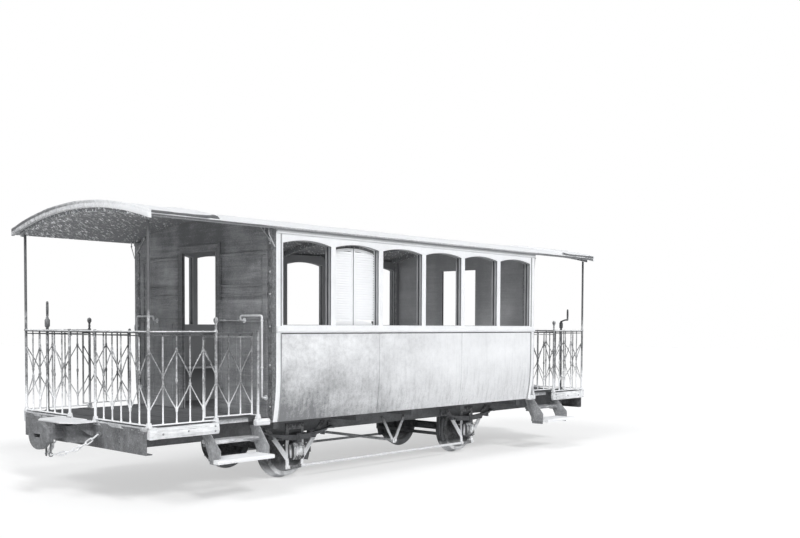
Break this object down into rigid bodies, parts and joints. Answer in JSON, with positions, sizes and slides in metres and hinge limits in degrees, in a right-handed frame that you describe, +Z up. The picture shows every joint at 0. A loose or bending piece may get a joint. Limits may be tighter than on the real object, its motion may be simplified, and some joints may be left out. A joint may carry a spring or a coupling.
{
  "type": "railway passenger carriage",
  "caption": "Narrow-gauge four-wheel railway passenger carriage with open railed end platforms, gates, steps, fall plates and arched windows",
  "frame": {"origin": "centre of the carriage in plan, at the lowest points of the wheel flanges", "axes": "+X along the carriage towards end b, +Y across it to the far side, +Z up"},
  "size_m": [8.02, 2.838, 2.8378],
  "materials": {
    "side_paint": "weathered",
    "frame_paint": "satin",
    "end_wood": "varnished",
    "shutter_paint": "satin",
    "floor_wood": "worn",
    "worn_iron": "worn",
    "roof_cover": "weathered",
    "hoop_wood": "painted",
    "rail_iron": "worn",
    "frame_iron": "rusty",
    "gear_iron": "worn",
    "gear_cast": "worn",
    "wheel_steel": "worn"
  },
  "bodies": {
    "carriage": {"lower_side_near": "side_paint", "lower_side_far": "side_paint", "window_frame_near": "frame_paint", "window_frame_far": "frame_paint", "side_mouldings": "frame_paint", "cover_strips": "side_paint", "corner_pillars": "frame_paint", "bulkhead_a": "end_wood", "bulkhead_b": "end_wood", "body_floor": "floor_wood", "platform_floors": "floor_wood", "platform_side_beams": "worn_iron", "roof_shell": "roof_cover", "roof_hoods": "roof_cover", "roof_hoops": "hoop_wood", "corner_posts": "rail_iron", "short_posts": "rail_iron", "side_railings": "rail_iron", "end_railings": "rail_iron", "step_sides": "frame_iron", "step_treads": "floor_wood", "grab_rails": "rail_iron", "headstocks": "frame_iron", "solebars": "frame_iron", "cross_bearers": "frame_iron", "axle_guards": "gear_iron", "axleboxes": "gear_cast", "springs": "gear_iron", "brake_gear": "frame_iron", "brake_columns": "rail_iron", "centre_buffers": "gear_cast", "safety_chains": "frame_iron", "eave_brackets": "rail_iron", "benches": "floor_wood"},
    "wheelset_a": {"axle_a": "wheel_steel", "wheel_a_near": "wheel_steel", "wheel_a_far": "wheel_steel"},
    "wheelset_b": {"axle_b": "wheel_steel", "wheel_b_near": "wheel_steel", "wheel_b_far": "wheel_steel"},
    "gate_a_near_body": {"gate_a_near": "rail_iron"},
    "gate_a_far_body": {"gate_a_far": "rail_iron"},
    "gate_b_near_body": {"gate_b_near": "rail_iron"},
    "gate_b_far_body": {"gate_b_far": "rail_iron"},
    "plate_a": {"fall_plate_a": "worn_iron"},
    "plate_b": {"fall_plate_b": "worn_iron"},
    "bar_a": {"gangway_bar_a": "rail_iron"},
    "bar_b": {"gangway_bar_b": "rail_iron"},
    "leaf_a": {"shutter_leaf_a": "shutter_paint"},
    "leaf_b": {"shutter_leaf_b": "shutter_paint"}
  },
  "joints": [
    {"name": "wheelset_a_spin", "type": "hinge", "parent": "carriage", "child": "wheelset_a", "pos_m": [-1.475, 0, 0.323], "axis": [0, 1, 0], "continuous": true},
    {"name": "wheelset_b_spin", "type": "hinge", "parent": "carriage", "child": "wheelset_b", "pos_m": [1.475, 0, 0.323], "axis": [0, 1, 0], "continuous": true},
    {"name": "gate_a_near_swing", "type": "hinge", "parent": "carriage", "child": "gate_a_near_body", "pos_m": [-2.372, -1.123, 1.1], "axis": [0, 0, -1], "range_deg": [0, 90]},
    {"name": "gate_a_far_swing", "type": "hinge", "parent": "carriage", "child": "gate_a_far_body", "pos_m": [-2.372, 1.123, 1.1], "axis": [0, 0, 1], "range_deg": [0, 90]},
    {"name": "gate_b_near_swing", "type": "hinge", "parent": "carriage", "child": "gate_b_near_body", "pos_m": [2.372, -1.123, 1.1], "axis": [0, 0, 1], "range_deg": [0, 90]},
    {"name": "gate_b_far_swing", "type": "hinge", "parent": "carriage", "child": "gate_b_far_body", "pos_m": [2.372, 1.123, 1.1], "axis": [0, 0, -1], "range_deg": [0, 90]},
    {"name": "fall_plate_a_lift", "type": "hinge", "parent": "carriage", "child": "plate_a", "pos_m": [-3.5803, 0, 0.752], "axis": [0, 1, 0], "range_deg": [0, 90]},
    {"name": "fall_plate_b_lift", "type": "hinge", "parent": "carriage", "child": "plate_b", "pos_m": [3.5803, 0, 0.752], "axis": [0, -1, 0], "range_deg": [0, 90]},
    {"name": "gangway_bar_a_swing", "type": "hinge", "parent": "carriage", "child": "bar_a", "pos_m": [-3.548, -0.2175, 1.58], "axis": [0, 0, -1], "range_deg": [0, 90]},
    {"name": "gangway_bar_b_swing", "type": "hinge", "parent": "carriage", "child": "bar_b", "pos_m": [3.548, 0.2175, 1.58], "axis": [0, 0, -1], "range_deg": [0, 90]},
    {"name": "shutter_leaf_a_swing", "type": "hinge", "parent": "carriage", "child": "leaf_a", "pos_m": [-1.3895, -1.176, 2], "axis": [0, 0, 1], "range_deg": [0, 90]},
    {"name": "shutter_leaf_b_swing", "type": "hinge", "parent": "carriage", "child": "leaf_b", "pos_m": [-0.7405, -1.176, 2], "axis": [0, 0, -1], "range_deg": [0, 90]}
  ]
}
